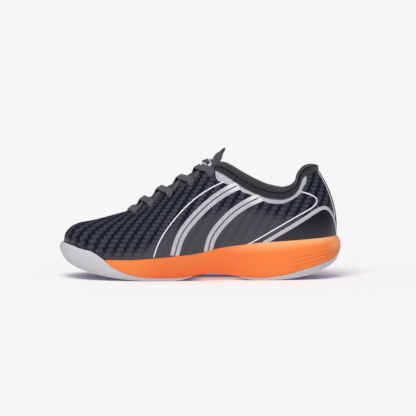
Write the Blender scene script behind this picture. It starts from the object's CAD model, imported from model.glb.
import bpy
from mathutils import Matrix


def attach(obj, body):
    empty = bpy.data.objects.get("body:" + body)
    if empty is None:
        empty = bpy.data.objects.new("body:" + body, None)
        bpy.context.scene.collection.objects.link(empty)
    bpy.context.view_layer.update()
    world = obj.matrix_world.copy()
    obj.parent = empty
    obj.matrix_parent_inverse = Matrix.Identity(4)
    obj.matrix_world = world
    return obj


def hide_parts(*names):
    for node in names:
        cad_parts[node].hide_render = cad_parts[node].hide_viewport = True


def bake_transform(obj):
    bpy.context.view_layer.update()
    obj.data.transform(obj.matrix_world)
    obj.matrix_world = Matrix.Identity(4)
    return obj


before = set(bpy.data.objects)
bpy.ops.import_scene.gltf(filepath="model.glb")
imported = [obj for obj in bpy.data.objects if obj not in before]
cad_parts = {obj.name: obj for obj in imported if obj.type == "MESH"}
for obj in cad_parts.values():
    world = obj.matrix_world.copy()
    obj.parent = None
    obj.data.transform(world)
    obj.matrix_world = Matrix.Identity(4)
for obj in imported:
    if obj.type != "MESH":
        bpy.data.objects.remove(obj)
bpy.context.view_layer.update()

import bpy
import bmesh
import math
import numpy as np
from mathutils import Vector

MM = 0.001
MIDDLE_X, HALF_LENGTH = 0.05, 144.25
ORIGIN = np.array([0, -0.785, 0])       # middle of the width, moved to Y = 0 in every mesh
LAT, MED = -1, 1
SIDES = ((LAT, "lateral"), (MED, "medial"))
PRINT_PER_MM = .01
STATIONS = 150         # heel to toe along one side
SKIN_THICK = 1.5


# ================================================================ curves
def natural(xs, ys):
    """Natural cubic spline through (xs, ys), flat beyond the ends."""
    xs, ys = np.array(xs, float), np.array(ys, float)
    count, gap = len(xs), np.diff(xs)
    system, target = np.eye(count), np.zeros(count)
    for i in range(1, count - 1):
        system[i, i - 1:i + 2] = gap[i - 1], 2 * (gap[i - 1] + gap[i]), gap[i]
        target[i] = 6 * ((ys[i + 1] - ys[i]) / gap[i] - (ys[i] - ys[i - 1]) / gap[i - 1])
    bend = np.linalg.solve(system, target)

    def curve(x):
        x = np.clip(np.asarray(x, float), xs[0], xs[-1])
        i = np.clip(np.searchsorted(xs, x) - 1, 0, count - 2)
        after, before = xs[i + 1] - x, x - xs[i]
        return ((bend[i] * after ** 3 + bend[i + 1] * before ** 3) / (6 * gap[i])
                + (ys[i] / gap[i] - bend[i] * gap[i] / 6) * after
                + (ys[i + 1] / gap[i] - bend[i + 1] * gap[i] / 6) * before)
    return curve


def pchip(xs, ys):
    """Monotone cubic through (xs, ys), flat beyond the ends."""
    xs, ys = np.array(xs, float), np.array(ys, float)
    gap, count = np.diff(xs), len(xs)
    rise = np.diff(ys) / gap
    slope = np.zeros(count)
    for i in range(1, count - 1):
        if rise[i - 1] * rise[i] > 0:
            w1, w2 = 2 * gap[i] + gap[i - 1], gap[i] + 2 * gap[i - 1]
            slope[i] = (w1 + w2) / (w1 / rise[i - 1] + w2 / rise[i])
    slope[0], slope[-1] = rise[0], rise[-1]

    def curve(x):
        x = np.clip(np.asarray(x, float), xs[0], xs[-1])
        i = np.clip(np.searchsorted(xs, x) - 1, 0, count - 2)
        t = (x - xs[i]) / gap[i]
        return ((1 + 2 * t) * (1 - t) ** 2 * ys[i] + t * (1 - t) ** 2 * gap[i] * slope[i]
                + t * t * (3 - 2 * t) * ys[i + 1] + t * t * (t - 1) * gap[i] * slope[i + 1])
    return curve


def ease(x, start, end):
    """Smooth step from 0 at start to 1 at end."""
    t = np.clip((np.asarray(x, float) - start) / (end - start), 0, 1)
    return t * t * (3 - 2 * t)


def unit(vectors):
    length = np.linalg.norm(vectors, axis=-1, keepdims=True)
    return vectors / np.maximum(length, 1e-9)


def angle_of(x):
    """Station angle of a length position: 0 at the heel, pi at the toe."""
    return np.arccos(np.clip((np.asarray(x, float) - MIDDLE_X) / HALF_LENGTH, -1, 1))


def x_of(angle):
    return MIDDLE_X + HALF_LENGTH * np.cos(angle)


def table(rows, col, make):
    """Curve of one column of a table, by the station angle of its first column."""
    rows = sorted(rows, key=lambda row: -row[0])
    return make([float(angle_of(row[0])) for row in rows], [row[col] for row in rows])


# ================================================================ sole tables
# plan outline at its widest: X, lateral Y, medial Y
PLAN = [
    (144.3, 0, 0), (142.2, -11, 10.5), (137, -21.3, 20.3), (126, -31.2, 29.5),
    (108, -37.4, 34.6), (85, -39.8, 35.2), (58, -41.2, 34.2), (30, -43.8, 35.2),
    (5, -47.4, 38.4), (-20, -50.9, 43.6), (-45, -53.0, 49.0), (-70, -52.2, 51.4),
    (-95, -47.8, 50.4), (-115, -40.4, 46.2), (-130, -29.4, 37.2), (-140, -13.6, 22.4),
    (-144.2, 4, 4)]
LAT_Y, MED_Y = table(PLAN, 1, natural), table(PLAN, 2, natural)

# each curve below: X, then Z
# underside of the outsole: toe spring, flat tread, heel bevel
GROUND_Z = pchip(
    [-144.2, -142.5, -140, -136, -130, -116, -101, -85, -70, -55, -46, 60, 75, 88, 100, 111,
     123, 131, 137, 141, 144.3],
    [27.5, 24.0, 21.0, 17.6, 14.0, 8.8, 5.0, 2.4, .9, .12, 0, 0, .1, .9, 2.5, 4.8,
     9.0, 13.0, 16.6, 20.2, 24.5])
# seam between the rubber and the foam on the outside wall
SEAM_Z = pchip(
    [-98, -92.7, -85.5, -81.5, -71.5, -57.5, -39.8, -20, -10.6, -4.8, 5.6, 13.5, 21.2, 31.7,
     42.1, 61.7, 77.3, 92.9, 103.7, 115.4, 131, 141, 144.3],
    [20.9, 16.0, 11.8, 9.8, 6.4, 3.8, 3.1, 3.3, 4.3, 5.3, 7.4, 7.9, 7.2, 5.4,
     3.8, 2.4, 3.8, 6.8, 9.9, 13.4, 18.6, 23.6, 26.4])
# top of the sole wall, where the upper comes out
LIP_Z = pchip(
    [-144.2, -140, -132.4, -122, -113, -108.4, -103.2, -98, -92, -86.8, -71.5, -60.7, -39.8,
     -20.4, -10.6, .4, 21, 42, 61, 88, 115, 131, 144.3],
    [36.6, 36.4, 35.0, 31.7, 30.0, 28.1, 24.9, 21.5, 21.2, 21.2, 21.2, 22.0, 23.7,
     25.5, 26.5, 28.4, 33.4, 36.0, 38.3, 40.0, 41.9, 43.0, 43.6])
# top of the rubber inside the sole, and the foam's arch between the two treads
SLAB_Z = pchip(
    [-144.2, -136, -130, -116, -101, -85, -70, -57, -40, -20, -12, -5, 5.6, 13.5, 21, 31.7,
     42, 61.7, 77, 93, 103.7, 115, 131, 141],
    [31, 21.8, 18.0, 12.8, 9.0, 6.4, 4.6, 3.5, 2.9, 3.2, 4.2, 5.3, 7.4, 7.9, 7.2, 5.4,
     3.6, 2.2, 3.3, 5.2, 7.0, 9.4, 17.0, 24.2])
# floor of the shoe's inside
FOOT_Z = pchip([-140, -130, -116, -101, -85, -70, -50, -20, 10, 40, 70, 100, 135],
               [27.0, 22.4, 17.9, 15.2, 13.8, 13.2, 13.2, 15.4, 18.8, 21.8, 24.0, 25.2, 26.2])
TOE_CAP_X = -98                    # in front of this the rubber reaches the lip


# ================================================================ rings round the shoe
def fold(around):
    """Loop angle 0..2 pi (heel, lateral, toe, medial) to station angle and side."""
    around = np.mod(np.asarray(around, float), 2 * math.pi)
    lateral = around <= math.pi
    return np.where(lateral, around, 2 * math.pi - around), np.where(lateral, LAT, MED)


def loop_angle(angle, side):
    return np.asarray(angle, float) if side == LAT else 2 * math.pi - np.asarray(angle, float)


def plan_point(angle, side):
    return np.stack([x_of(angle), np.where(side == LAT, LAT_Y(angle), MED_Y(angle))], 1)


def plan_normal(angle, side):
    """Outward normal of the plan outline, from points a little way along it."""
    step = 1e-3

    def beside(t):
        over = (t < 0) | (t > math.pi)
        t = np.where(t < 0, -t, np.where(t > math.pi, 2 * math.pi - t, t))
        return plan_point(t, np.where(over, -side, side))
    along = unit(beside(angle + step) - beside(angle - step))
    normal = np.stack([-along[:, 1], along[:, 0]], 1)
    spine = np.stack([np.clip(x_of(angle), -110, 110), np.zeros(len(angle))], 1)
    outward = plan_point(angle, side) - spine
    return normal * np.sign((normal * outward).sum(1))[:, None]


def ring(angle, side, inset, z):
    """Points inset from the plan outline; inset and z may be numbers, arrays or functions of X."""
    if callable(inset):
        inset = inset(x_of(angle))
    inset = np.broadcast_to(inset, angle.shape)[:, None]
    plan = plan_point(angle, side) - plan_normal(angle, side) * inset
    height = z(plan[:, 0]) if callable(z) else np.broadcast_to(z, angle.shape)
    return np.column_stack([plan, height])


def profile(around, rows):
    """Grid of stations x rows from (inset, z) rows."""
    angle, side = fold(around)
    return np.stack([ring(angle, side, inset, z) for inset, z in rows], 1)


def even_stations(count):
    """Station angles evenly spaced along the lateral outline."""
    fine = np.linspace(0, math.pi, 4000)
    plan = plan_point(fine, np.full(len(fine), LAT))
    run = np.concatenate([[0], np.cumsum(np.linalg.norm(np.diff(plan, axis=0), axis=1))])
    angles = np.interp(np.linspace(0, run[-1], count), run, fine)
    angles[0], angles[-1] = 0, math.pi
    return angles


STATION_ANGLES = even_stations(STATIONS)
LOOP = np.concatenate([STATION_ANGLES, (2 * math.pi - STATION_ANGLES[::-1])[1:-1]])

# ================================================================ surface of the upper
# X of the station | top edge: X, half width from the ridge line, Z |
# section curve: out and up from the lip, out and down from the edge
UPPER_ROWS = [
    (144.3, 120.8, 0, 110.6, 2.8, 25, 12.5, 18), (142.2, 119.5, 8.0, 110.3, 2.8, 25, 12.5, 18),
    (137, 115.6, 14.6, 109.5, 2.8, 24, 12, 18), (126, 108.2, 20.4, 106.4, 2.6, 22, 10.5, 17),
    (118, 104.0, 22.9, 101.5, 2.6, 20, 8, 17), (108, 101.0, 25.0, 93.2, 2.6, 18, 6, 16),
    (97, 94.6, 27.6, 85.7, 2.6, 16, 5, 14), (85, 84.0, 29.6, 82.2, 2.6, 15, 4, 13),
    (72, 72, 30.6, 83.1, 2.6, 15, 4, 14), (58, 58, 30.6, 87.6, 2.6, 16, 4, 16),
    (44, 44, 29.2, 94.6, 2.4, 18, 5, 18), (30, 30, 26.2, 103.8, 2.2, 22, 7, 20),
    (20, 20.5, 23.2, 109.6, 2.0, 26, 9, 20), (13, 13.5, 20.6, 112.0, 2.0, 28, 10, 19),
    (5, 5.5, 19.2, 109.4, 2.2, 29, 11, 17), (-20, -18.5, 17.0, 95.4, 2.8, 30, 13, 12),
    (-45, -44, 15.4, 81.4, 3.4, 28, 13, 8), (-60, -59, 14.2, 73.2, 3.6, 26, 14, 6),
    (-70, -68.5, 12.0, 69.4, 3.6, 25, 15, 5), (-77, -75, 7.8, 67.8, 3.6, 24, 18, 3),
    (-82, -79.5, 0, 66.7, 3.6, 23, 23, 2), (-95, -92, 0, 63.2, 3.4, 20, 25, 1),
    (-115, -105, 0, 59.4, 3.0, 15, 23, .5), (-130, -112.5, 0, 57.7, 2.4, 12.5, 18, .5),
    (-140, -115.5, 0, 57.1, 1.9, 11, 15, .5), (-144.2, -116, 0, 57.0, 1.6, 10.5, 14, .5)]
EDGE_X, EDGE_HALF, EDGE_Z, LIP_OUT, LIP_UP, EDGE_OUT, EDGE_DOWN = [
    table(UPPER_ROWS, col, pchip) for col in range(1, 8)]
# the medial collar stands higher: edge X, rise
COLLAR_RISE = natural([5, 18, 30, 42, 55, 66, 78, 90, 112, 125],
                      [0, 1.9, 3.7, 4.5, 4.3, 3.6, 2.5, 1.5, .5, 0])
RIDGE_Y = pchip([-116, -100, -80, -60], [4.5, 3.0, 1.2, 0])
LIP_INSET, SEAM_INSET = 4.7, 8.6        # at the lip, and at the hidden lower edge
V_LIP = .14                             # share of the section that is hidden below the lip


def edge_point(angle, side):
    """Top edge: ridge on the vamp, eyestay edge on the throat, collar line behind."""
    x, half, z = EDGE_X(angle), EDGE_HALF(angle), EDGE_Z(angle)
    y = RIDGE_Y(x) + side * half
    return np.column_stack([x, y, z + np.where(side == MED, COLLAR_RISE(x), 0)])


def upper_at(around, v):
    """Outer surface at paired loop angles and heights.

    v is 0 at the hidden lower seam, V_LIP at the lip and 1 at the top edge."""
    angle, side = fold(around)
    v = np.asarray(v, float)
    seam = ring(angle, side, SEAM_INSET, lambda x: FOOT_Z(x) + .7)
    lip = ring(angle, side, LIP_INSET, LIP_Z(x_of(angle)))
    edge = edge_point(angle, side)
    out = unit(lip[:, :2] - edge[:, :2])
    # behind the throat the medial edge stands right over the lip,
    # so the wall bulges along the outline's own normal
    blend = (side == MED) * ease(edge[:, 0], 15, 36) * (1 - ease(edge[:, 0], 98, 112))
    out = out * (1 - blend)[:, None] + plan_normal(angle, side) * blend[:, None]
    out = np.column_stack([unit(out), np.zeros(len(angle))])
    up = np.array([0, 0, 1.0])
    low_pull = lip + out * LIP_OUT(angle)[:, None] + up * LIP_UP(angle)[:, None]
    high_pull = edge + out * EDGE_OUT(angle)[:, None] - up * EDGE_DOWN(angle)[:, None]
    k = np.clip(v / V_LIP, 0, 1)[:, None]
    t = np.clip((v - V_LIP) / (1 - V_LIP), 0, 1)[:, None]
    hidden = seam * (1 - k) + lip * k
    shown = ((1 - t) ** 3 * lip + 3 * t * (1 - t) ** 2 * low_pull
             + 3 * t * t * (1 - t) * high_pull + t ** 3 * edge)
    return np.where((v <= V_LIP)[:, None], hidden, shown)


def upper_frame(around, v):
    """Points of the upper surface and their outward normals."""
    around, v = np.broadcast_arrays(np.asarray(around, float), np.asarray(v, float))
    shape = around.shape + (3,)
    around, v = around.ravel(), v.ravel()
    point = upper_at(around, v)
    along = upper_at(around + 2e-3, v) - upper_at(around - 2e-3, v)
    rise = upper_at(around, np.minimum(v + 2e-3, 1)) - upper_at(around, np.maximum(v - 2e-3, 0))
    normal = unit(np.cross(along, rise))
    spine = np.column_stack([np.clip(point[:, 0], -105, 105), point[:, 1] * 0,
                             np.full(len(point), 45.0)])
    normal = normal * np.where((normal * (point - spine)).sum(1) < 0, -1, 1)[:, None]
    return point.reshape(shape), normal.reshape(shape)


def edge_angle(x):
    """Station angle whose top edge is at X = x."""
    angles = np.linspace(.02, math.pi - .02, 1600)
    return float(np.interp(-x, -EDGE_X(angles), angles))


def v_below(around, distance):
    """Height parameter at a distance down the section from the top edge."""
    v = np.linspace(1, .16, 220)
    section = upper_at(np.full(len(v), around), v)
    run = np.concatenate([[0], np.cumsum(np.linalg.norm(np.diff(section, axis=0), axis=1))])
    return float(np.interp(distance, run, v))


def section_at(x, side, distance):
    """Point, outward normal and downward direction, a distance below the edge at X = x."""
    around = float(loop_angle(edge_angle(x), side))
    v = v_below(around, distance)
    point, normal = (values[0] for values in upper_frame([around], [v]))
    down = point - upper_at([around], [min(v + .02, 1)])[0]
    return point, normal, unit(down - normal * down.dot(normal))


# ================================================================ side view
# The lines on the upper are drawn on a plane through VIEW_TARGET, square to the camera.
VIEW_DISTANCE, VIEW_TILT = 9000.0, math.radians(4.5)
VIEW_TARGET = np.array([8.2, -45.0, 74.6])
VIEW_HALF = 212.4304                    # from the middle of the view to its edge, at the target
VIEW_BACK = np.array([0, -math.cos(VIEW_TILT), math.sin(VIEW_TILT)])
VIEW_UP = np.array([0, math.sin(VIEW_TILT), math.cos(VIEW_TILT)])
EYE = VIEW_TARGET + VIEW_BACK * VIEW_DISTANCE
VIEW_PRINT_MID = 2.08                   # print coordinate at the middle of the view


def side_view(points, side=LAT):
    """Millimetres to the right and up on the view plane; the medial side is mirrored."""
    points = np.array(points, float)
    if side == MED:
        points[..., 1] = -points[..., 1]
    ray = points - EYE
    scale = VIEW_DISTANCE / -(ray @ VIEW_BACK)
    return np.stack([ray[..., 0] * scale, (ray @ VIEW_UP) * scale], -1)


def view_print(view):
    """Print coordinates of view points for the two skins of a film."""
    coords = VIEW_PRINT_MID * (1 + view.reshape(-1, 2) * [1, -1] / VIEW_HALF)
    return np.concatenate([coords] * 2)


GRID_ANGLE, GRID_V = (grid.ravel() for grid in np.meshgrid(
    np.linspace(.012, math.pi - .012, 420), np.linspace(.10, 1, 130), indexing="ij"))
GRID_VIEW = side_view(upper_at(GRID_ANGLE, GRID_V))


def slopes(place, angle, v, step):
    """How place(angle, v) changes with each of its arguments."""
    by_angle = (place(angle + step, v) - place(angle - step, v)) / (2 * step)
    by_v = (place(angle, np.minimum(v + step, 1)) - place(angle, v - step)) / (2 * step)
    return by_angle, by_v


def find(points):
    """Station angles and heights on the lateral upper of view points, by Newton's method."""
    points = np.asarray(points, float).reshape(-1, 2)
    nearest = np.array([int(np.argmin(((GRID_VIEW - q) ** 2).sum(1))) for q in points])
    angle, v = GRID_ANGLE[nearest].copy(), GRID_V[nearest].copy()

    def place(a, b):
        return side_view(upper_at(a, b))
    for _ in range(6):
        miss = place(angle, v) - points
        by_angle, by_v = slopes(place, angle, v, 5e-4)
        det = by_angle[:, 0] * by_v[:, 1] - by_angle[:, 1] * by_v[:, 0]
        steady = np.abs(det) > 52.153           # away from the outline of the shoe
        det = np.where(steady, det, 1)
        turn = (miss[:, 0] * by_v[:, 1] - miss[:, 1] * by_v[:, 0]) / det
        rise = (by_angle[:, 0] * miss[:, 1] - by_angle[:, 1] * miss[:, 0]) / det
        turn, rise = (np.where(steady, np.clip(d, -.04, .04), 0) for d in (turn, rise))
        angle = np.clip(angle - turn, .003, math.pi - .003)
        v = np.clip(v - rise, .02, 1)
    return angle, v


def resample(line, count):
    """Evenly spaced points on a smooth curve through a line's points."""
    line = np.array(line, float)
    run = np.concatenate([[0], np.cumsum(np.linalg.norm(np.diff(line, axis=0), axis=1))])
    even = np.linspace(0, run[-1], count)
    return np.column_stack([natural(run, line[:, k])(even) for k in range(2)])


def trace(line, count):
    """Smoothed path on the upper of a line drawn on the view plane."""
    path = find(resample(line, count))
    for values in path:
        for _ in range(3):
            values[1:-1] = (values[:-2] + 2 * values[1:-1] + values[2:]) / 4
    return path


# ================================================================ mesh helpers
def apply_modifiers(ob):
    graph = bpy.context.evaluated_depsgraph_get()
    data = bpy.data.meshes.new_from_object(ob.evaluated_get(graph))
    ob.modifiers.clear()
    ob.data = data


def close_up(bm):
    """Turn all faces outward."""
    bmesh.ops.recalc_face_normals(bm, faces=bm.faces[:])
    if bm.calc_volume(signed=True) < 0:
        bmesh.ops.reverse_faces(bm, faces=bm.faces[:])


def bend_with_foot(ob):
    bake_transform(ob)


def mesh(name, points, faces, mats, body=None, slot=None, replaces=(), uv=None, weld=2e-6,
         sharp=None, face_mats=None, level=0):
    """A mesh object from millimetre points; weld is in metres, sharp in degrees."""
    data = bpy.data.meshes.new(name)
    points = ((np.asarray(points, float) - ORIGIN) * MM).tolist()
    data.from_pydata(points, [], [tuple(int(i) for i in face) for face in faces])
    for mat in (mats if isinstance(mats, list) else [mats]):
        data.materials.append(mat)
    if face_mats is not None:
        data.polygons.foreach_set("material_index", np.asarray(face_mats, np.int32))
    if uv is not None:
        layer = data.uv_layers.new(name="print")
        corners = np.empty(len(data.loops), np.int32)
        data.loops.foreach_get("vertex_index", corners)
        layer.data.foreach_set("uv", np.asarray(uv, np.float32)[corners].ravel())
    bm = bmesh.new()
    bm.from_mesh(data)
    if weld:
        bmesh.ops.remove_doubles(bm, verts=bm.verts[:], dist=weld)
    close_up(bm)
    for face in bm.faces:
        face.smooth = True
    bm.to_mesh(data)
    bm.free()
    if sharp:
        data.set_sharp_from_angle(angle=math.radians(sharp))
    ob = bpy.data.objects.new(name, data)
    bpy.context.scene.collection.objects.link(ob)
    if level:
        modifier = ob.modifiers.new("smooth", "SUBSURF")
        modifier.levels = modifier.render_levels = level
        apply_modifiers(ob)
    if body == "flex":
        bend_with_foot(ob)
    elif body:
        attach(ob, body)
    if replaces:
        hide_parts(*replaces)
    return ob


def grid_faces(rows, cols, close_rows=False, close_cols=False, base=0):
    i, j = np.meshgrid(np.arange(rows if close_rows else rows - 1),
                       np.arange(cols if close_cols else cols - 1), indexing="ij")
    i, j = i.ravel(), j.ravel()
    this, after = i * cols, (i + 1) % rows * cols
    beside = (j + 1) % cols
    return (np.stack([this + j, after + j, after + beside, this + beside], 1) + base).tolist()


def tube_faces(rows, cols):
    """A tube of closed rows with a cap at each end."""
    return grid_faces(rows, cols, False, True) + [
        list(range(cols))[::-1], [(rows - 1) * cols + j for j in range(cols)]]


def cross_faces(row, stations, cols, closed):
    """Faces across the shoe, joining each station of one row to its opposite one."""
    last = stations if closed else stations - 1
    faces = []
    for i in range(last // 2):
        quad = [k % stations * cols + row for k in (i, i + 1, last - i - 1, last - i)]
        quad = [k for j, k in enumerate(quad) if k != quad[j - 1]]
        if len(quad) >= 3:
            faces.append(quad)
    return faces


def two_skins(outer, inner):
    """Points and faces of a closed thin shell between two grids."""
    rows, cols = outer.shape[:2]
    size = rows * cols
    points = np.concatenate([outer.reshape(-1, 3), inner.reshape(-1, 3)])
    faces = grid_faces(rows, cols) + [f[::-1] for f in grid_faces(rows, cols, base=size)]
    end, last = cols - 1, (rows - 1) * cols
    for i in range(0, last, cols):
        k = i + cols
        faces.append([i, size + i, size + k, k])
        faces.append([i + end, k + end, size + k + end, size + i + end])
    for j in range(end):
        a, b = last + j, last + j + 1
        faces.append([j, j + 1, size + j + 1, size + j])
        faces.append([a, size + a, size + b, b])
    return points, faces


def lay_film(name, angle, v, view, side, mat, lift, thick, body="flex", slot=None, replaces=(),
             thin_edge=True):
    """A thin film over a grid of places on the upper."""
    point, normal = upper_frame(loop_angle(angle, side), v)
    height = np.full(angle.shape, lift + thick)
    if thin_edge:
        height[:, 0] = height[:, -1] = lift + thick * .45
        height[0] = height[-1] = lift + thick * .45
    points, faces = two_skins(point + normal * height[..., None], point - normal * .5)
    mesh(name, points, faces, mat, body, slot, replaces, uv=view_print(view))


def ribbon(name, path, side, width, cols, shift=0, **film):
    """A strip along a path on the upper; shift moves it across itself, in millimetres."""
    angle, v = path
    count = len(angle)
    width = np.atleast_1d(width)
    widths = np.interp(np.linspace(0, 1, count), np.linspace(0, 1, len(width)), width)
    point, normal = upper_frame(angle, v)
    across = np.cross(normal, unit(np.gradient(point, axis=0)))
    across *= np.where((across[:, 2] + across[:, 0] * .3).mean() > 0, -1, 1)
    angles, heights = np.empty((count, cols + 1)), np.empty((count, cols + 1))
    for j, share in enumerate(np.linspace(-.5, .5, cols + 1)):
        goal = point + across * (shift + share * widths)[:, None]
        at, up = angle.copy(), v.copy()
        # least-squares steps over the surface towards the goal
        for _ in range(4):
            here = upper_at(at, up)
            by_angle, by_v = slopes(upper_at, at, up, 1e-3)
            miss = goal - here
            aa, av, vv = [(p * q).sum(1) for p, q in (
                (by_angle, by_angle), (by_angle, by_v), (by_v, by_v))]
            pull_a, pull_v = (by_angle * miss).sum(1), (by_v * miss).sum(1)
            det = np.maximum(aa * vv - av * av, 1e-6)
            at = at + np.clip((pull_a * vv - pull_v * av) / det, -.05, .05)
            up = np.clip(up + np.clip((aa * pull_v - av * pull_a) / det, -.05, .05), .03, 1)
        angles[:, j], heights[:, j] = at, up
    view = side_view(upper_at(angles.ravel(), heights.ravel()))
    lay_film(name, angles, heights, view, side, **film)


# ================================================================ material helpers
def new_mat(name, rgb, rough=.5, metal=0.0, spec=.5, coat=0.0, sheen=0.0):
    mat = bpy.data.materials.new(name)
    mat.use_nodes = True
    values = {"Base Color": (*rgb, 1), "Roughness": rough, "Metallic": metal,
              "Specular IOR Level": spec, "Coat Weight": coat, "Coat Roughness": .2,
              "Sheen Weight": sheen, "Sheen Roughness": .5}
    for key, value in values.items():
        mat.node_tree.nodes["Principled BSDF"].inputs[key].default_value = value
    mat.diffuse_color = (*rgb, 1)
    return mat


class Graph:
    """Small shader graph builder."""

    def __init__(self, mat):
        self.nodes, self.links = mat.node_tree.nodes, mat.node_tree.links
        self.shader = self.nodes["Principled BSDF"]

    def put(self, node, key, value):
        if hasattr(value, "is_output"):
            self.links.new(value, node.inputs[key])
        elif value is not None:
            node.inputs[key].default_value = value

    def set(self, key, value):
        self.put(self.shader, key, value)

    def math(self, operation, a, b=None, c=None, clamp=False):
        node = self.nodes.new("ShaderNodeMath")
        node.operation, node.use_clamp = operation, clamp
        for key, value in enumerate((a, b, c)):
            self.put(node, key, value)
        return node.outputs[0]

    def mul(self, a, b, clamp=False):
        return self.math("MULTIPLY", a, b, clamp=clamp)

    def add(self, a, b):
        return self.math("ADD", a, b)

    def sub(self, a, b):
        return self.math("SUBTRACT", a, b)

    def line(self, value, gain, offset):
        return self.math("MULTIPLY_ADD", value, gain, offset)

    def sine(self, value):
        return self.math("SINE", value)

    def rise(self, value, low, high):
        """Smooth step from 0 at low to 1 at high."""
        node = self.nodes.new("ShaderNodeMapRange")
        node.interpolation_type = "SMOOTHSTEP"
        self.put(node, "Value", value)
        node.inputs["From Min"].default_value = low
        node.inputs["From Max"].default_value = high
        return node.outputs[0]

    def fall(self, value, low, high):
        return self.sub(1.0, self.rise(value, low, high))

    def split(self, vector):
        node = self.nodes.new("ShaderNodeSeparateXYZ")
        self.links.new(vector, node.inputs[0])
        return node.outputs

    def uv(self):
        node = self.nodes.new("ShaderNodeUVMap")
        node.uv_map = "print"
        return self.split(node.outputs[0])[:2]

    def place(self):
        return self.nodes.new("ShaderNodeTexCoord").outputs["Object"]

    def noise(self, scale, detail=2, vector=None):
        node = self.nodes.new("ShaderNodeTexNoise")
        node.inputs["Scale"].default_value, node.inputs["Detail"].default_value = scale, detail
        node.inputs["Roughness"].default_value = .5
        self.links.new(vector or self.place(), node.inputs["Vector"])
        return node.outputs["Fac"]

    def mix(self, factor, first, second):
        """Colour mix; inputs 6 and 7 of the node are its two colours."""
        node = self.nodes.new("ShaderNodeMix")
        node.data_type = "RGBA"
        self.put(node, 0, factor)
        for key, value in ((6, first), (7, second)):
            self.put(node, key, value if hasattr(value, "is_output") else (*value, 1))
        return node.outputs[2]

    def bump(self, height, strength, distance):
        node = self.nodes.new("ShaderNodeBump")
        node.inputs["Strength"].default_value = strength
        node.inputs["Distance"].default_value = distance
        self.links.new(height, node.inputs["Height"])
        self.links.new(node.outputs[0], self.shader.inputs["Normal"])


# ================================================================ materials
# upper limit of the hazy sheen on the wall: X, Z in millimetres
HAZE_LINE = [(-150, 22), (-112, 28), (-92, 28), (-70, 29.5), (-56, 35), (-44, 43), (-32, 53),
             (-15, 60), (5, 68), (24, 74), (43, 75.5), (64, 70.8), (85, 66), (102, 66),
             (118, 62), (150, 56)]
HAZE_LENGTH, HAZE_HEIGHT = 300, 100     # span of the curve node, millimetres


def haze_mask(graph):
    """1 below the haze line, fading out above it, with slow variation."""
    x, _, z = graph.split(graph.place())
    node = graph.nodes.new("ShaderNodeFloatCurve")
    points = node.mapping.curves[0].points
    line = [((hx + 150) / HAZE_LENGTH, hz / HAZE_HEIGHT) for hx, hz in HAZE_LINE]
    points[0].location, points[1].location = line[0], line[-1]
    for place in line[1:-1]:
        points.new(*place)
    node.mapping.update()
    graph.put(node, 1, graph.line(x, 1 / .3, .5))
    limit = graph.mul(node.outputs[0], .1)
    haze = graph.rise(graph.sub(limit, z), -.004, .009)
    return graph.mul(haze, graph.line(graph.noise(35), .5, .72), clamp=True)


def woven(name):
    """Coated cloth printed with light dashes in leaning, stepped columns."""
    base, dash, veil, rough = (.0062, .0064, .0135), (.055, .060, .086), (.074, .070, .082), .40
    # millimetre steps from dash to dash along a row, and from row to row
    row_x, row_y, step_x, step_y = 9.8, -.6, 2.4, 4.2
    area = row_x * step_y - row_y * step_x
    mat = new_mat(name, base, rough, spec=.4)
    graph = Graph(mat)
    across, up = (graph.mul(value, 100) for value in graph.uv())
    i = graph.add(graph.mul(across, step_y / area), graph.mul(up, -step_x / area))
    j = graph.add(graph.mul(across, -row_y / area), graph.mul(up, row_x / area))
    row_part = graph.math("FRACT", j)
    lean = graph.mul(graph.sub(row_part, .5), step_x / row_x)
    offset = graph.sub(graph.math("FRACT", graph.add(i, lean)), .5)
    far_x = graph.math("ABSOLUTE", offset)
    far_y = graph.math("ABSOLUTE", graph.sub(graph.sub(row_part, .5), graph.mul(offset, .42)))
    length_mask = graph.fall(far_x, .27, .36)
    height_mask = graph.fall(far_y, .22, .42)
    dashes = graph.mul(length_mask, graph.line(height_mask, .72, .28))
    wear = graph.line(graph.noise(120, detail=3), .7, .55)
    fine_x, fine_y = graph.sine(graph.mul(across, 8.5)), graph.sine(graph.mul(up, 8.5))
    thread = graph.line(graph.mul(fine_x, fine_y), .5, .5)
    tone = graph.mul(dashes, wear, clamp=True)
    tone = graph.mul(tone, graph.line(thread, .35, .72))
    haze = haze_mask(graph)
    colour = graph.mix(tone, base, dash)
    graph.set("Base Color", graph.mix(graph.mul(haze, .74), colour, veil))
    graph.set("Roughness", graph.line(dashes, .08, rough))
    relief = graph.add(graph.mul(thread, .45), graph.mul(dashes, .8))
    graph.bump(relief, strength=.18, distance=.0002)
    return mat


def knit(name, rgb, rough=.85, scale=1500, strength=.35, sheen=.25, tone=.35):
    """Fabric with a fine diagonal weave; tone is the share of lightening and darkening."""
    mat = new_mat(name, rgb, rough, spec=.25, sheen=sheen)
    graph = Graph(mat)
    place = graph.place()
    x, _, z = graph.split(place)
    wave = graph.mul(graph.sine(graph.mul(graph.add(x, z), scale * 2.2)),
                     graph.sine(graph.mul(graph.sub(x, z), scale * 2.2)))
    fibre, patch = graph.noise(900, detail=3), graph.noise(60)
    graph.bump(graph.add(graph.mul(wave, .5), fibre), strength, distance=.0004)
    dark = tuple(c * (1 - tone) for c in rgb)
    light = tuple(min(1, c * (1 + tone)) for c in rgb)
    graph.set("Base Color", graph.mix(graph.line(fibre, .6, graph.mul(patch, .4)), dark, light))
    return mat


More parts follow.
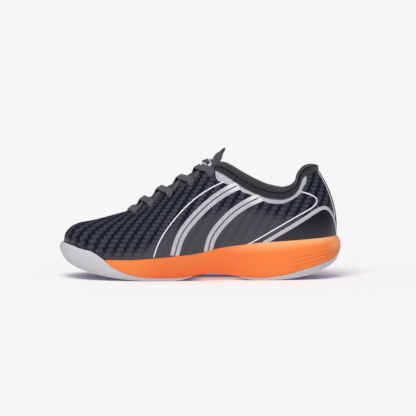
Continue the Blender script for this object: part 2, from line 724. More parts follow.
def silver(name, rgb, glare):
    """Silver print with a faint diagonal hatch, brighter by the front of the collar."""
    mat = new_mat(name, rgb, rough=.38, metal=.15, coat=.15)
    graph = Graph(mat)
    across, up = graph.uv()
    hatch = graph.sine(graph.mul(graph.add(across, graph.mul(up, 1.4)), 520))
    tone = graph.line(hatch, .12, graph.mul(graph.noise(400), .5))
    x, _, z = graph.split(graph.place())
    near = graph.mul(graph.rise(graph.line(x, .5, z), .100, .113), graph.fall(x, .064, .080))
    near = graph.mul(near, graph.rise(x, .018, .030))
    plain = graph.mix(tone, tuple(c * .76 for c in rgb), tuple(min(1, c * 1.10) for c in rgb))
    graph.set("Base Color", graph.mix(graph.mul(near, glare), plain, (.97, .97, .98)))
    graph.bump(hatch, strength=.06, distance=.0001)
    return mat


def foam_mat():
    """Orange foam, shaded by length and height on the wall, ribbed low at the heel."""
    mat = new_mat("midsole_foam", (.93, .180, .034), rough=.52, spec=.35)
    graph = Graph(mat)
    grain, patch = graph.noise(260, detail=3), graph.noise(28)
    length, height = graph.uv()         # decimetres towards the heel; 0..1 up the wall
    rear = graph.rise(length, .15, .75)
    heel_end = graph.rise(length, 1.30, 1.42)
    rib = graph.sine(graph.mul(height, 46.0))
    rib_low = graph.mul(graph.rise(height, .06, .14), graph.fall(height, .40, .58))
    rib_mask = graph.mul(graph.rise(length, .80, 1.05), rib_low)
    low = graph.mix(patch, (.87, .140, .029), (.89, .158, .034))
    middle = graph.mix(patch, (.82, .174, .040), (.84, .19, .046))
    colour = graph.mix(graph.rise(height, .10, .62), low, middle)
    top = graph.mul(graph.rise(height, .66, 1.0), graph.line(rear, .97, .0))
    for mask, tint in (
            (graph.mul(graph.rise(length, .0, .8), .85), (.95, .232, .044)),
            (graph.mul(graph.rise(length, -.35, -.75), .85), (.88, .235, .056)),
            (top, (.94, .45, .20)),
            (graph.mul(heel_end, graph.rise(height, .12, .5)), (1.0, .40, .165)),
            (graph.mul(graph.mul(rib_mask, .30), graph.rise(rib, .1, .9)), (.62, .085, .02))):
        colour = graph.mix(mask, colour, tint)
    graph.set("Base Color", colour)
    relief = graph.add(graph.mul(grain, .12), graph.mul(rib_mask, graph.mul(rib, -.5)))
    graph.bump(relief, strength=.8, distance=.0004)
    graph.set("Roughness", graph.line(grain, .16, .42))
    return mat


def rubber_mat():
    mat = new_mat("outsole_rubber", (.60, .59, .645), rough=.44, spec=.4)
    graph = Graph(mat)
    grain = graph.noise(300, detail=3)
    patch = graph.noise(24, detail=3)
    graph.set("Base Color", graph.mix(patch, (.54, .522, .555), (.60, .585, .615)))
    graph.bump(grain, strength=.10, distance=.0004)
    return mat


def heel_panel_mat():
    """Near-black film with a fine diamond print, paler low down."""
    mat = new_mat("heel_cover_film", (.011, .0105, .014), rough=.40, spec=.4)
    graph = Graph(mat)
    across, up = graph.uv()
    diamond = graph.mul(graph.sine(graph.mul(graph.add(across, up), 250)),
                        graph.sine(graph.mul(graph.sub(across, up), 250)))
    z = graph.split(graph.place())[2]
    low = graph.rise(z, .064, .044)
    pattern = graph.mix(graph.rise(diamond, .1, .7), (.005, .005, .009), (.016, .0155, .021))
    graph.set("Base Color", graph.mix(graph.mul(low, .36), pattern, (.050, .046, .056)))
    return mat


CLOTH = woven("upper_woven")
BACKING = knit("upper_backing", (.03, .03, .036))
FOAM = foam_mat()
RUBBER = rubber_mat()
TREAD = new_mat("tread_rubber", (.56, .55, .57), rough=.55)
COLLAR_KNIT = knit("collar_knit", (.027, .0258, .032), strength=.4)
LINING = knit("lining_mesh", (.068, .065, .076), rough=.9, strength=.5, scale=1100)
SOCK = knit("sockliner_fabric", (.045, .045, .055), rough=.92, scale=900)
TONGUE = knit("tongue_mesh", (.034, .034, .044), strength=.5, scale=1000)
CUFF = knit("tongue_cuff_knit", (.042, .040, .047), rough=.82)
LACE = knit("lace_weave", (.085, .082, .096), rough=.9, scale=1700, strength=.6, sheen=.2,
            tone=.45)
SILVER = silver("silver_film", (.66, .66, .71), glare=.7)
SILVER_EDGE = silver("silver_edge", (.60, .60, .65), glare=.12)
WHITE = new_mat("white_line", (.84, .84, .88), rough=.4)
LABEL = new_mat("label_white", (.80, .80, .84), rough=.45)
AGLET = new_mat("aglet_gloss", (.050, .048, .056), rough=.32)
SHANK = new_mat("shank_plate", (.42, .060, .020), rough=.45)
HEEL_PANEL = heel_panel_mat()
BOARD = knit("board_fabric", (.30, .29, .27))
THREAD = new_mat("stitch_thread", (.09, .088, .10), rough=.8)
BINDING = new_mat("collar_binding", (.0075, .0072, .0095), rough=.85, spec=.15)
EYESTAY_THREAD = new_mat("eyestay_thread", (.012, .012, .020), rough=.7)
BACKSTAY = new_mat("backstay_film_show", (.014, .014, .02), rough=.34, coat=.3)


# ================================================================ the sole
def wall_inset(x, z):
    """How far the outer wall stands in from the plan outline."""
    ground = GROUND_Z(x)
    share = np.clip((z - ground) / np.maximum(LIP_Z(x) - ground, 1), 0, 1)
    return (3.4 * np.clip(1 - share / .42, 0, 1) ** 2.2
            + 2.6 * np.clip((share - .55) / .45, 0, 1) ** 2)


def rubber_top(x):
    """Outer top of the rubber: the toe cap's edge in front, the foam seam behind."""
    seam = np.where(x < TOE_CAP_X, LIP_Z(x), SEAM_Z(x))
    return np.maximum(seam, SLAB_Z(x) * (x > TOE_CAP_X))


def foam_low(x):
    return rubber_top(x) + .12


def foam_inset(x, z):
    return wall_inset(x, z) + ease(-x, 92, 98) * 1.7


# foam wall rows: extra inset, share of the height from the rubber to the lip
WALL_ROWS = ([(.15, 0), (.0, .02)]
             + [(.9 * max(0, (t - .45) / .5) ** 2, t) for t in np.linspace(.06, .90, 26)]
             + [(.95, .935), (1.15, .965), (1.5, .99), (1.95, 1.0), (2.5, .985)])


def wall_row(extra, share):
    def height(x):
        low = foam_low(x)
        return low * (1 - share) + np.maximum(LIP_Z(x), low + .2) * share

    def inset(x):
        # fine moulded ribs low on the rear wall
        ribs = (.22 * np.cos(share * 2 * math.pi * 11) * ease(x, 92, 108)
                * (1 - ease(x, 136, 141)) * (ease(share, .04, .10) - ease(share, .50, .62)))
        return foam_inset(x, height(x)) + extra * (1 - ease(-x, 92, 98)) + ribs
    return inset, height


def midsole():
    """Foam with a soft lip, running in under the upper and over the rubber."""
    rows = [(12.0, lambda x: SLAB_Z(x) + .15),
            (6.0, lambda x: np.maximum(SLAB_Z(x) + .15, foam_low(x))),
            (lambda x: foam_inset(x, foam_low(x)) + .25, foam_low)]
    rows += [wall_row(*row) for row in WALL_ROWS]
    rows += [(5.6, lambda x: np.maximum(LIP_Z(x) - 2.0, FOOT_Z(x))),
             (8.4, lambda x: FOOT_Z(x) + .2), (12.0, FOOT_Z)]
    grid = profile(LOOP, rows)
    stations, cols = grid.shape[:2]
    # the foam draws in behind the toe cap
    angle, side = fold(LOOP)
    x = x_of(angle)
    inside = ease(-x, 97, 103)
    for j in range(1, cols - 3):
        target = ring(angle, side, 7.6, lambda x: SLAB_Z(x) + 1
                      + (FOOT_Z(x) - 1 - SLAB_Z(x)) * j / cols)
        grid[:, j] = grid[:, j] * (1 - inside[:, None]) + target * inside[:, None]
    row = cols - 3
    grid[:, row, 2] = grid[:, row, 2] * (1 - inside) + (FOOT_Z(x) - .3) * inside
    faces = grid_faces(stations, cols, True)
    for row in (0, cols - 1):
        faces += cross_faces(row, stations, cols, True)
    x, z = grid[..., 0], grid[..., 2]
    share = np.clip((z - foam_low(x)) / np.maximum(LIP_Z(x) - foam_low(x), 2), 0, 1)
    mesh("midsole_show", grid.reshape(-1, 3), faces, FOAM, "flex", "midsole", ["midsole"],
         uv=np.stack([x * PRINT_PER_MM, share], -1).reshape(-1, 2))


midsole()


def toe_loop(x_end):
    """Loop angles round the toe, from X = x_end on one side to the same on the other."""
    end = float(angle_of(x_end))
    half = [end] + [t for t in STATION_ANGLES if t > end + .004]
    return np.array(half + [2 * math.pi - t for t in half[::-1]][1:])


def heel_loop(x_end):
    end = float(angle_of(x_end))
    half = [t for t in STATION_ANGLES if t < end - .004] + [end]
    return np.array([-t for t in half[::-1]] + half[1:])


def outsole_low(front):
    """Underside of an outsole piece, lifting into the arch at its inner end."""
    def low(x):
        lift = (ease(x, -30, -7.5) if front else 1 - ease(x, 40.5, 60)) ** 1.5
        return GROUND_Z(x) + np.maximum(rubber_top(x) - GROUND_Z(x) - .7, 0) * lift
    return low


def recess(low):
    """Floor of the recess between the tread bars."""
    return lambda x: low(x) + np.clip(rubber_top(x) - low(x) - .45, .15, 1.6)


def outsole_piece(slot, around, body):
    low, top = outsole_low(body == "flex"), rubber_top

    def inset_top(extra):
        return lambda x: wall_inset(x, top(x)) + extra

    def wall(share):
        def height(x):
            return low(x) * (1 - share) + top(x) * share
        return lambda x: wall_inset(x, height(x)) + (.04 if share < .95 else .12), height
    rows = [(7.6, recess(low)), (7.15, lambda x: low(x) + .12), (6.7, low), (4.0, low),
            (3.3, lambda x: low(x) + .08)]
    rows += [wall(share) for share in (.1, .22, .36, .5, .64, .78, .89, .96)]
    rows += [(inset_top(.55), lambda x: top(x) + .02), (inset_top(1.2), lambda x: top(x) - .05),
             (lambda x: np.where(x < TOE_CAP_X, 4.5, inset_top(1.9)(x)), lambda x: top(x) - .3),
             (6.6, lambda x: np.minimum(np.maximum(SLAB_Z(x), FOOT_Z(x) - 1), top(x) - .3)),
             (7.6, lambda x: np.minimum(SLAB_Z(x), top(x)) - .05)]
    grid = profile(around, rows)
    stations, cols = grid.shape[:2]
    faces = grid_faces(stations, cols)
    for row in (0, cols - 1):
        faces += cross_faces(row, stations, cols, False)
    end = [(stations - 1) * cols + j for j in range(cols)]
    faces.append(list(range(cols)) + end[::-1])
    mesh(slot + "_show", grid.reshape(-1, 3), faces, RUBBER, body, slot, [slot], sharp=50)


FOREFOOT_END_X, HEEL_START_X = -8.0, 41.0
outsole_piece("outsole_forefoot", toe_loop(FOREFOOT_END_X), "flex")
outsole_piece("outsole_heel", heel_loop(HEEL_START_X), "rearfoot")


def inset_y(x, inset, side):
    """Y of the inset outline on one side."""
    return float(ring(np.array([angle_of(x)]), np.array([side]), np.array([inset]), 0.0)[0, 1])


# tread bars: cross-section corners as (X offset, 1 at the root or 0 at the tread)
BAR_CORNERS = ((-.25, 1), (.35, 0), (2.5, 0), (3.1, 1))
BAR_PITCH, BAR_ZIGZAG, BAR_RUN = 5.6, 2.6, 7


def tread(name, x_start, x_end, body, slot):
    """Herringbone bars inside the outsole's rim."""
    low = outsole_low(body == "flex")
    root = recess(low)
    points, faces = [], []
    x = x_start
    while x < x_end:
        y_lat, y_med = inset_y(x, 7.8, LAT), inset_y(x, 7.8, MED)
        if y_med - y_lat > 12:
            runs = max(2, int(round((y_med - y_lat) / BAR_RUN)))
            base = len(points)
            for i, y in enumerate(np.linspace(y_lat, y_med, runs + 1)):
                for offset, is_root in BAR_CORNERS:
                    bar_x = x + (BAR_ZIGZAG if i % 2 else 0) + offset
                    z = float(root(bar_x)) + .12 if is_root else float(low(bar_x)) + .03
                    points.append((bar_x, y, z))
            for i in range(runs):
                for j in range(4):
                    a, b = base + i * 4 + j, base + i * 4 + (j + 1) % 4
                    faces.append([a, b, b + 4, a + 4])
            faces += [[base, base + 1, base + 2, base + 3],
                      [base + runs * 4 + j for j in (3, 2, 1, 0)]]
        x += BAR_PITCH
    mesh(name, points, faces, TREAD, body, slot, sharp=30, weld=0)


tread("tread_forefoot", -132, -13.5, "flex", "outsole_forefoot")
tread("tread_heel", 44, 128, "rearfoot", "outsole_heel")


def bed(name, node, inset, bottom, top, rim, mat):
    """A sheet on the inside floor; bottom and top are heights over it, rim is a raised edge."""
    def over(rise):
        return lambda x: FOOT_Z(x) + rise
    rows = [(inset + 3.0, over(bottom)), (inset, over(bottom)), (inset - .1, over(top + rim * .6)),
            (inset + .5, over(top + rim)), (inset + 1.4, over(top + rim * .7)),
            (inset + 3.4, over(top)), (inset + 6.5, over(top))]
    grid = profile(LOOP, rows)
    stations, cols = grid.shape[:2]
    faces = grid_faces(stations, cols, True)
    for row in (0, cols - 1):
        faces += cross_faces(row, stations, cols, True)
    mesh(name, grid.reshape(-1, 3), faces, mat, "flex", node, [node])


bed("sockliner_show", "sockliner", 11.2, 1.85, 5.6, 2.2, SOCK)
bed("strobel_show", "strobel_board", 10.8, .35, 1.5, 0, BOARD)

# ================================================================ the upper
EYELET_X = [-66.0, -50.0, -30.5, -9.0, 11.5]    # five rows of punched eyelets, front to back
EYELET_DOWN = 7.0                               # from the throat edge to the eyelet's centre
EYELET_RADIUS = 2.0
SKIN_ROWS = 64                 # from the lip to the top edge


def unwrap(points, welded):
    """Flat layout, in arbitrary units, of a grid; welded maps each point to the one it shares."""
    rows, cols = points.shape[:2]
    data = bpy.data.meshes.new("flat")
    faces = [tuple(int(welded[k]) for k in f) for f in grid_faces(rows, cols)]
    data.from_pydata(points.reshape(-1, 3).tolist(), [], [f for f in faces if len(set(f)) == 4])
    ob = bpy.data.objects.new("flat", data)
    bpy.context.scene.collection.objects.link(ob)
    for other in bpy.context.selected_objects:
        other.select_set(False)
    bpy.context.view_layer.objects.active = ob
    ob.select_set(True)
    data.uv_layers.new(name="print")
    bpy.ops.object.mode_set(mode="EDIT")
    bpy.ops.mesh.select_all(action="SELECT")
    bpy.ops.uv.unwrap(method="ANGLE_BASED", margin=0)
    bpy.ops.object.mode_set(mode="OBJECT")
    data = ob.data
    coords = np.empty(len(data.loops) * 2)
    data.uv_layers["print"].data.foreach_get("uv", coords)
    corners = np.empty(len(data.loops), int)
    data.loops.foreach_get("vertex_index", corners)
    flat = np.zeros((rows * cols, 2))
    flat[corners] = coords.reshape(-1, 2)
    bpy.data.objects.remove(ob, do_unlink=True)
    return flat[welded]


def skin_print(points, heights, ridge, mirror):
    """Print coordinates: the skin laid flat, cut at the heel, lined up with the lateral side."""
    points = np.concatenate([points, points[:1]])
    rows, cols = points.shape[:2]
    welded = np.arange(rows * cols)
    for i in np.where(ridge)[0]:
        if mirror[i] < i:
            welded[i * cols + cols - 1] = mirror[i] * cols + cols - 1
    flat = unwrap(points, welded)
    points, v = points.reshape(-1, 3), np.tile(heights, rows)
    pick = (points[:, 1] < -5) & (np.abs(points[:, 0]) < 95) & (v > .2) & (v < .75)
    # side elevation, seen from slightly above
    goal = points[pick, 0] + 1j * (points[pick, 2] + points[pick, 1] * .0787)

    def fit(flip):
        """Best turn, scale and shift onto the side, and its mean error."""
        place = flat[pick, 0] * flip + 1j * flat[pick, 1]
        system = np.column_stack([place, np.ones(len(place))])
        move = np.linalg.lstsq(system, goal, rcond=None)[0]
        return np.abs(system @ move - goal).mean(), flip, move
    _, flip, move = min((fit(1), fit(-1)), key=lambda result: result[0])
    laid = (flat[:, 0] * flip + 1j * flat[:, 1]) * move[0] + move[1]
    return (np.column_stack([laid.real, laid.imag]) * PRINT_PER_MM).reshape(rows, cols, 2)


def punch_eyelets(skin):
    """Cut the eyelets right through the skin."""
    points, faces = [], []
    turns = np.arange(20) * 2 * math.pi / 20
    for side in (LAT, MED):
        for x in EYELET_X:
            centre, normal, down = section_at(x, side, EYELET_DOWN)
            along = np.cross(normal, down)
            hole = [[i, (i + 1) % 20, 20 + (i + 1) % 20, 20 + i] for i in range(20)]
            hole += [list(range(20))[::-1], list(range(20, 40))]
            faces += [[i + len(points) for i in face] for face in hole]
            points += [centre + normal * h
                       + (down * math.cos(q) + along * math.sin(q)) * EYELET_RADIUS
                       for h in (-4, 4) for q in turns]
    cutter = mesh("cutter", points, faces, BACKING, weld=0)
    modifier = skin.modifiers.new("eyelets", "BOOLEAN")
    modifier.operation, modifier.solver, modifier.object = "DIFFERENCE", "EXACT", cutter
    apply_modifiers(skin)
    bpy.data.objects.remove(cutter, do_unlink=True)
    for face in skin.data.polygons:
        face.use_smooth = True
    skin.data.set_sharp_from_angle(angle=math.radians(50))


def upper_skin():
    """One skin all round, joined along the vamp's ridge and open at the throat and collar."""
    shares = np.linspace(0, 1, SKIN_ROWS)
    heights = np.concatenate([[.02, .08, V_LIP - .02], V_LIP + (1 - V_LIP) * shares])
    point, normal = upper_frame(*np.meshgrid(LOOP, heights, indexing="ij"))
    count, cols = point.shape[:2]
    ridge = EDGE_HALF(fold(LOOP)[0]) < 1e-6
    mirror = (count - np.arange(count)) % count
    # both sides share their points and normals on the ridge
    top, side_normal = point[:, -1].copy(), normal.copy()
    for i in np.where(ridge)[0]:
        point[i, -1] = (top[i] + top[mirror[i]]) / 2
        normal[i, -1] = side_normal[i, -1] + side_normal[mirror[i], -1]
        normal[i, -1] /= np.linalg.norm(normal[i, -1])
    uv = skin_print(point, heights, ridge, mirror)

    inner = point - normal * SKIN_THICK
    size = count * cols
    outer_faces = grid_faces(count, cols, True)
    inner_faces = [f[::-1] for f in grid_faces(count, cols, True, base=size)]
    rims = []
    for i in range(count):
        k = (i + 1) % count
        a, b = i * cols, k * cols
        rims.append([a, size + a, size + b, b])
        if not (ridge[i] and ridge[k]):
            a, b = a + cols - 1, b + cols - 1
            rims.append([a, b, size + b, size + a])
    skin = mesh("upper_show", np.concatenate([point.reshape(-1, 3), inner.reshape(-1, 3)]),
                outer_faces + inner_faces + rims, [CLOTH, BACKING], None, "vamp",
                uv=np.concatenate([uv[:count].reshape(-1, 2)] * 2), weld=0,
                face_mats=[0] * len(outer_faces) + [1] * (len(inner_faces) + len(rims)))
    # the last column of faces ends on the far side of the heel cut
    layer = skin.data.uv_layers["print"].data
    for face in skin.data.polygons[(count - 1) * (cols - 1):count * (cols - 1)]:
        for corner in face.loop_indices:
            vertex = skin.data.loops[corner].vertex_index
            if vertex // cols == 0:
                layer[corner].uv = uv[count, vertex % cols]
    bm = bmesh.new()
    bm.from_mesh(skin.data)
    bm.verts.ensure_lookup_table()
    pairs = {}
    for i in np.where(ridge)[0]:
        if mirror[i] > i:
            for base in (cols - 1, size + cols - 1):
                pairs[bm.verts[base + mirror[i] * cols]] = bm.verts[base + i * cols]
    bmesh.ops.weld_verts(bm, targetmap=pairs)
    close_up(bm)
    bm.to_mesh(skin.data)
    bm.free()
    punch_eyelets(skin)
    bend_with_foot(skin)
    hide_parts("vamp", "quarter_lateral", "quarter_medial", "toe_puff", "heel_counter")


upper_skin()

# ================================================================ films on the side
# lines on the view plane: millimetres right and up from its middle
FRONT_LINE = [(23.4899, 29.82196), (6.1278, 21.95795), (-12.2556, 10.213), (-28.5964, -5.1065),
              (-42.38395, -22.4686), (-51.57565, -38.8094), (-55.66085, -50.65648)]
FRONT_BAND = [(33.19225, 24.30694), (18.3834, 16.85145), (0, 3.57455), (-15.83015, -12.2556),
              (-28.08575, -29.6177), (-34.21355, -49.43092)]
REAR_BAND = [(55.1502, 11.64282), (40.852, 5.1065), (25.5325, -5.1065), (12.76625, -17.87275),
             (3.57455, -31.6603), (0, -45.54998)]
HEEL_LINE = [(91.40635, 17.15784), (99.0661, 15.52376), (106.72585, 12.66412),
             (111.62809, 7.96614), (109.2791, 3.0639), (99.0661, -4.0852),
             (83.7466, -12.76625), (68.4271, -21.75369), (53.1076, -30.639),
             (38.8094, -38.29875)]
HEEL_BAND = [(55.66085, -36.7668), (69.4484, -28.5964), (83.7466, -20.22174),
             (96.0022, -12.66412), (106.2152, -5.92354), (114.3856, -.91917),
             (120.00275, .40852), (124.08795, -2.34899), (127.6625, -8.68105),
             (130.01149, -17.3621), (131.13492, -27.06445)]
HEEL_BAND_WIDTH = [3.7, 4.0, 4.0, 4.0, 4.0, 3.8, 3.6, 3.4]
HEEL_PANEL_LOW = [(59.2354, -39.32005), (83.7466, -35.33698), (104.1726, -33.09012),
                  (119.4921, -31.25178), (128.6838, -30.23048), (130.7264, -29.41344)]
HEEL_PANEL_DROP = 1.22556           # top of the panel below the band's middle
WHITE_LINE = dict(width=1.25, cols=1, mat=WHITE, thick=.16)
SILVER_BAND = dict(cols=3, mat=SILVER, thick=.2)


def front_films():
    path = trace(FRONT_LINE, 70)
    for side, word in SIDES:
        ribbon("line_front_" + word, path, side, lift=.16, slot="band_front_lateral",
               **WHITE_LINE)
    for band, line in (("band_front_", FRONT_BAND), ("band_rear_", REAR_BAND)):
        path = trace(line, 70)
        for side, word in SIDES:
            node = band + word
            for i, shift in enumerate((-2.6, 2.6)):
                ribbon("%s_%d" % (node, i), path, side, width=4.1, shift=shift, lift=.14,
                       slot=node, replaces=() if i else [node], **SILVER_BAND)


def heel_films():
    """White line, silver band and the darker panel below it."""
    line, band = trace(HEEL_LINE, 90), trace(HEEL_BAND, 90)
    top = resample(HEEL_BAND, 60) - np.array([0, HEEL_PANEL_DROP])
    low = resample(HEEL_PANEL_LOW, 60)
    share = np.linspace(0, 1, 13)[None, :, None]
    view = top[:, None] * (1 - share) + low[:, None] * share
    angle, v = (values.reshape(60, 13) for values in find(view))
    for side, word in SIDES:
        node = "heel_cover_" + word
        ribbon(node + "_line", line, side, lift=.16, body="rearfoot", slot=node, **WHITE_LINE)
        ribbon(node + "_band", band, side, width=HEEL_BAND_WIDTH, lift=.20, body="rearfoot",
               slot="band_rear_lateral", **SILVER_BAND)
        lay_film(node + "_panel", angle, v, view, side, HEEL_PANEL, lift=.06, thick=.1,
                 body="rearfoot", slot=node, replaces=[node], thin_edge=False)


def backstay_lines():
    v = np.linspace(.985, .36, 60)
    path = np.interp(v, [.36, .6, .985], [.155, .150, .135]), v
    for side, word in SIDES:
        ribbon("backstay_line_" + word, path, side, lift=.30, body="rearfoot",
               slot="backstay_strip", **WHITE_LINE)


# silver along the collar's lower edge: edge X, width
COLLAR_EDGE_WIDTH = ([15, 22, 28, 36, 44, 52, 60, 72, 84, 92, 97, 101, 106, 108],
                     [10.5, 9.5, 7.5, 3.2, 4.6, 2.6, 3.4, 4.4, 4.0, 3.0, 3.4, 5.6, 6.4, 5.2])


def collar_edge(side, word):
    angles = np.linspace(edge_angle(15.5), edge_angle(108), 110)
    around = loop_angle(angles, side)
    x = EDGE_X(angles)
    width = np.interp(x, *COLLAR_EDGE_WIDTH)
    from_end = np.minimum(x - 15.4, 108.2 - x)
    width = width * np.sqrt(1 - (1 - np.clip(from_end / 4.0, 0, 1)) ** 2) + .5
    low = np.array([v_below(a, w) for a, w in zip(around, width)])
    high = np.array([v_below(a, .3) for a in around])
    share = np.linspace(0, 1, 5)
    v = low[:, None] * (1 - share) + high[:, None] * share
    point, normal = upper_frame(around[:, None], v)
    height = np.full(v.shape, .27)
    height[:, 0] = height[:, -1] = .14
    points, faces = two_skins(point + normal * height[..., None], point - normal * .4)
    node = "collar_edge_" + word
    mesh(node, points, faces, SILVER_EDGE, "rearfoot", node, [node],
         uv=view_print(side_view(point, side)))


def eyestay_stitch(side, word):
    """Raised line of thread along the eyestay's lower edge."""
    count = 90
    around = loop_angle(np.linspace(edge_angle(15.5), edge_angle(-74), count), side)
    (low, low_out), (high, high_out) = (
        upper_frame(around, np.array([v_below(a, down) for a in around]))
        for down in (12.8, 12.2))
    grid = np.stack([low + low_out * .02, low + low_out * .22,
                     high + high_out * .22, high + high_out * .02], 1)
    faces = grid_faces(count, 4, False, True)
    faces += [[0, 1, 2, 3], [(count - 1) * 4 + j for j in (3, 2, 1, 0)]]
    node = "eyestay_" + word
    mesh("eyestay_stitch_" + word, grid.reshape(-1, 3), faces, EYESTAY_THREAD, "flex", node,
         [node], weld=0)


def backstay():
    """Strip up the back of the heel."""
    v = np.linspace(V_LIP + .01, .985, 50)
    point, normal = upper_frame(np.linspace(-.10, .10, 11)[:, None], v[None])
    height = np.full(point.shape[:2], .38)
    height[0] = height[-1] = .15
    points, faces = two_skins(point + normal * height[..., None], point - normal * .3)
    mesh("backstay_show", points, faces, BACKSTAY, "rearfoot", "backstay_strip",
         ["backstay_strip"])


front_films()
heel_films()
backstay_lines()
for side, word in SIDES:
    collar_edge(side, word)
for side, word in SIDES:
    eyestay_stitch(side, word)
backstay()

# ================================================================ padded collar and lining
# roll section from the outer edge over the top and down the inside: out, up from the top edge
ROLL = [(.10, -.2), (.75, 1.2), (1.05, 2.9), (.75, 4.7), (-.3, 6.2), (-2.0, 7.05), (-4.1, 7.0),
        (-6.1, 5.9), (-7.6, 3.9), (-8.3, 1.2), (-8.5, -2.0), (-8.2, -6.0), (-7.4, -10.0),
        (-6.6, -13.5)]
ROLL_POINTS = 44
BINDING_START, BINDING_END = 13, 18         # roll faces that are binding; lining after them
COLLAR_STATIONS = 220


def lifted(heights):
    """Vertical offsets for a row of points."""
    return np.column_stack([np.zeros(len(heights)), np.zeros(len(heights)), heights])


def collar():
    arc = np.linspace(-1, 1, COLLAR_STATIONS)
    around = edge_angle(13.5) * (.55 * arc + .45 * arc ** 3)
    edge = edge_point(*fold(around))
    top = np.ones(COLLAR_STATIONS)
    along = upper_at(around + 4e-3, top) - upper_at(around - 4e-3, top)
    out = unit(np.column_stack([along[:, 1], -along[:, 0], along[:, 0] * 0]))
    out *= np.sign((out * (edge - np.array([62, 0, 100.0]))).sum(1))[:, None]
    # smaller at the throat ends, lower and narrower at the heel, and slightly uneven
    size = .50 + .50 * ease(np.minimum(edge[:, 0] - 13.4, 14) / 14, 0, 1)
    heel_height = 1 - .28 * np.exp(-(around / .45) ** 2)
    heel_width = 1 - .25 * np.exp(-(around / .7) ** 2)
    uneven = sum(amount * np.sin(around * waves + phase) for amount, waves, phase in (
        (.22, 9, .3), (.14, 17, 1.1), (.10, 31, 2.2)))
    even = np.linspace(0, len(ROLL) - 1, ROLL_POINTS)
    section = [natural(np.arange(len(ROLL)), [row[k] for row in ROLL])(even) for k in (0, 1)]
    roll = []
    for x, z in zip(*section):
        across = x * np.where(x < 0, size * (heel_width if x < -2.5 else 1), 1)
        rise = z * np.where(z > 0, size * heel_height, size)
        if x < -2:
            across = across + uneven * .5
        if z > 3:
            rise = rise + uneven * .3
        roll.append(edge + out * across[:, None] + lifted(rise))
    # closed off against the inside of the skin
    shut = [edge + out * -1.75 + np.array([0, 0, z]) for z in (-13.5, -9, -5, -1.2, -.2)]
    grid = np.stack(roll + shut, 1)
    rows, cols = grid.shape[:2]
    strip = np.zeros(cols, int)
    strip[BINDING_START:BINDING_END] = 2
    strip[BINDING_END:ROLL_POINTS] = 1
    mesh("collar_show", grid.reshape(-1, 3), tube_faces(rows, cols),
         [COLLAR_KNIT, LINING, BINDING], "rearfoot", "collar_padding", ["collar_padding"],
         weld=0, face_mats=list(np.tile(strip, rows - 1)) + [0, 0])
    collar_lining(around, roll[-1], out)
    collar_seams(edge, out, size)


def collar_lining(around, start, out):
    """From the padding's lower edge down to the footbed, inside the skin."""
    low = []
    for v in np.linspace(.66, .17, 16):
        point, normal = upper_frame(around, np.full(len(around), v))
        low.append(point - normal * 4.2)
    join = [start * (1 - share) + low[0] * share for share in np.linspace(0, 1, 5)[1:-1]]
    sheet = np.stack([start] + join + low, 1)
    points, faces = two_skins(sheet, sheet + out[:, None] * .9)
    mesh("lining_show", points, faces, LINING, "rearfoot", "collar_lining", ["collar_lining"],
         weld=0)


def collar_seams(edge, out, size):
    """Seam line along the roll's lower edge and a stitched line inside."""
    for name, x, z, radius in (("collar_seam_low", .62, .55, .38),
                               ("collar_seam_in", -8.35, -7.0, .3)):
        centre = edge + out * (x * np.where(x < 0, size, 1))[:, None] + lifted(z * size)
        beside = np.cross(unit(np.gradient(centre, axis=0)), out)
        tube = np.stack([centre + out * (math.cos(q) * radius) + beside * (math.sin(q) * radius)
                         for q in np.arange(6) * math.pi / 3], 1)
        mesh(name, tube.reshape(-1, 3), tube_faces(COLLAR_STATIONS, 6), THREAD, "rearfoot",
             "collar_padding", weld=0)


def vamp_lining():
    """Lining of the front, under the tongue and over the toes."""
    angles = np.linspace(edge_angle(13), math.pi, 70)
    around = np.concatenate([angles, (2 * math.pi - angles[::-1])[1:]])
    point, normal = upper_frame(around[:, None], np.linspace(.17, .97, 20)[None])
    points, faces = two_skins(point - normal * 1.7, point - normal * 2.3)
    mesh("vamp_lining_show", points, faces, LINING, "flex", "collar_lining", weld=0)


collar()
vamp_lining()

# ================================================================ tongue
# centre line of the tongue, and its fall towards the sides per mm squared
TONGUE_Z = pchip([-80, -75, -70, -61, -45, -28, -16, -8, 0, 8, 16],
                 [60.0, 65.0, 69.6, 76.2, 86.2, 96.0, 102.6, 107.2, 111.4, 114.8, 117.4])
TONGUE_FALL = pchip([-80, -61, -45, -20, 0, 13], [.040, .044, .046, .038, .030, .023])


def tongue_point(x, y):
    return np.array([x, y, float(TONGUE_Z(x)) - float(TONGUE_FALL(x)) * y * y])


def tongue_normal(x, y):
    step = .05
    return unit(np.cross(tongue_point(x + step, y) - tongue_point(x - step, y),
                         tongue_point(x, y + step) - tongue_point(x, y - step)))


def cuff_front(y):
    return 2.4 + .55 * abs(y) + .008 * y * y


def padded(rows, half_start, half_end, x_start, x_end, over, under, puff, lean=0):
    """Upper and lower grids of a cushion on the tongue.

    over and under are thicknesses by the share of the length; puff is surface waviness."""
    top, bottom = [], []
    for share in np.linspace(0, 1, rows):
        top_row, bottom_row = [], []
        half = half_start + (half_end - half_start) * share
        for q in np.linspace(-1, 1, 26):
            across = math.sin(q * math.pi / 2)
            y = across * half
            x = x_start(y) + (x_end(y) - x_start(y)) * share
            full = .15 + .85 * math.sqrt(max(0, 1 - abs(across) ** 4))
            normal = unit(tongue_normal(x, y) + np.array([lean, 0, 0]))
            point = tongue_point(x, y)
            rise = float(over(share)) * full + puff(share, across)
            top_row.append(point + normal * rise)
            bottom_row.append(point - normal * float(under(share)) * full)
        top.append(top_row)
        bottom.append(bottom_row)
    return np.array(top), np.array(bottom)


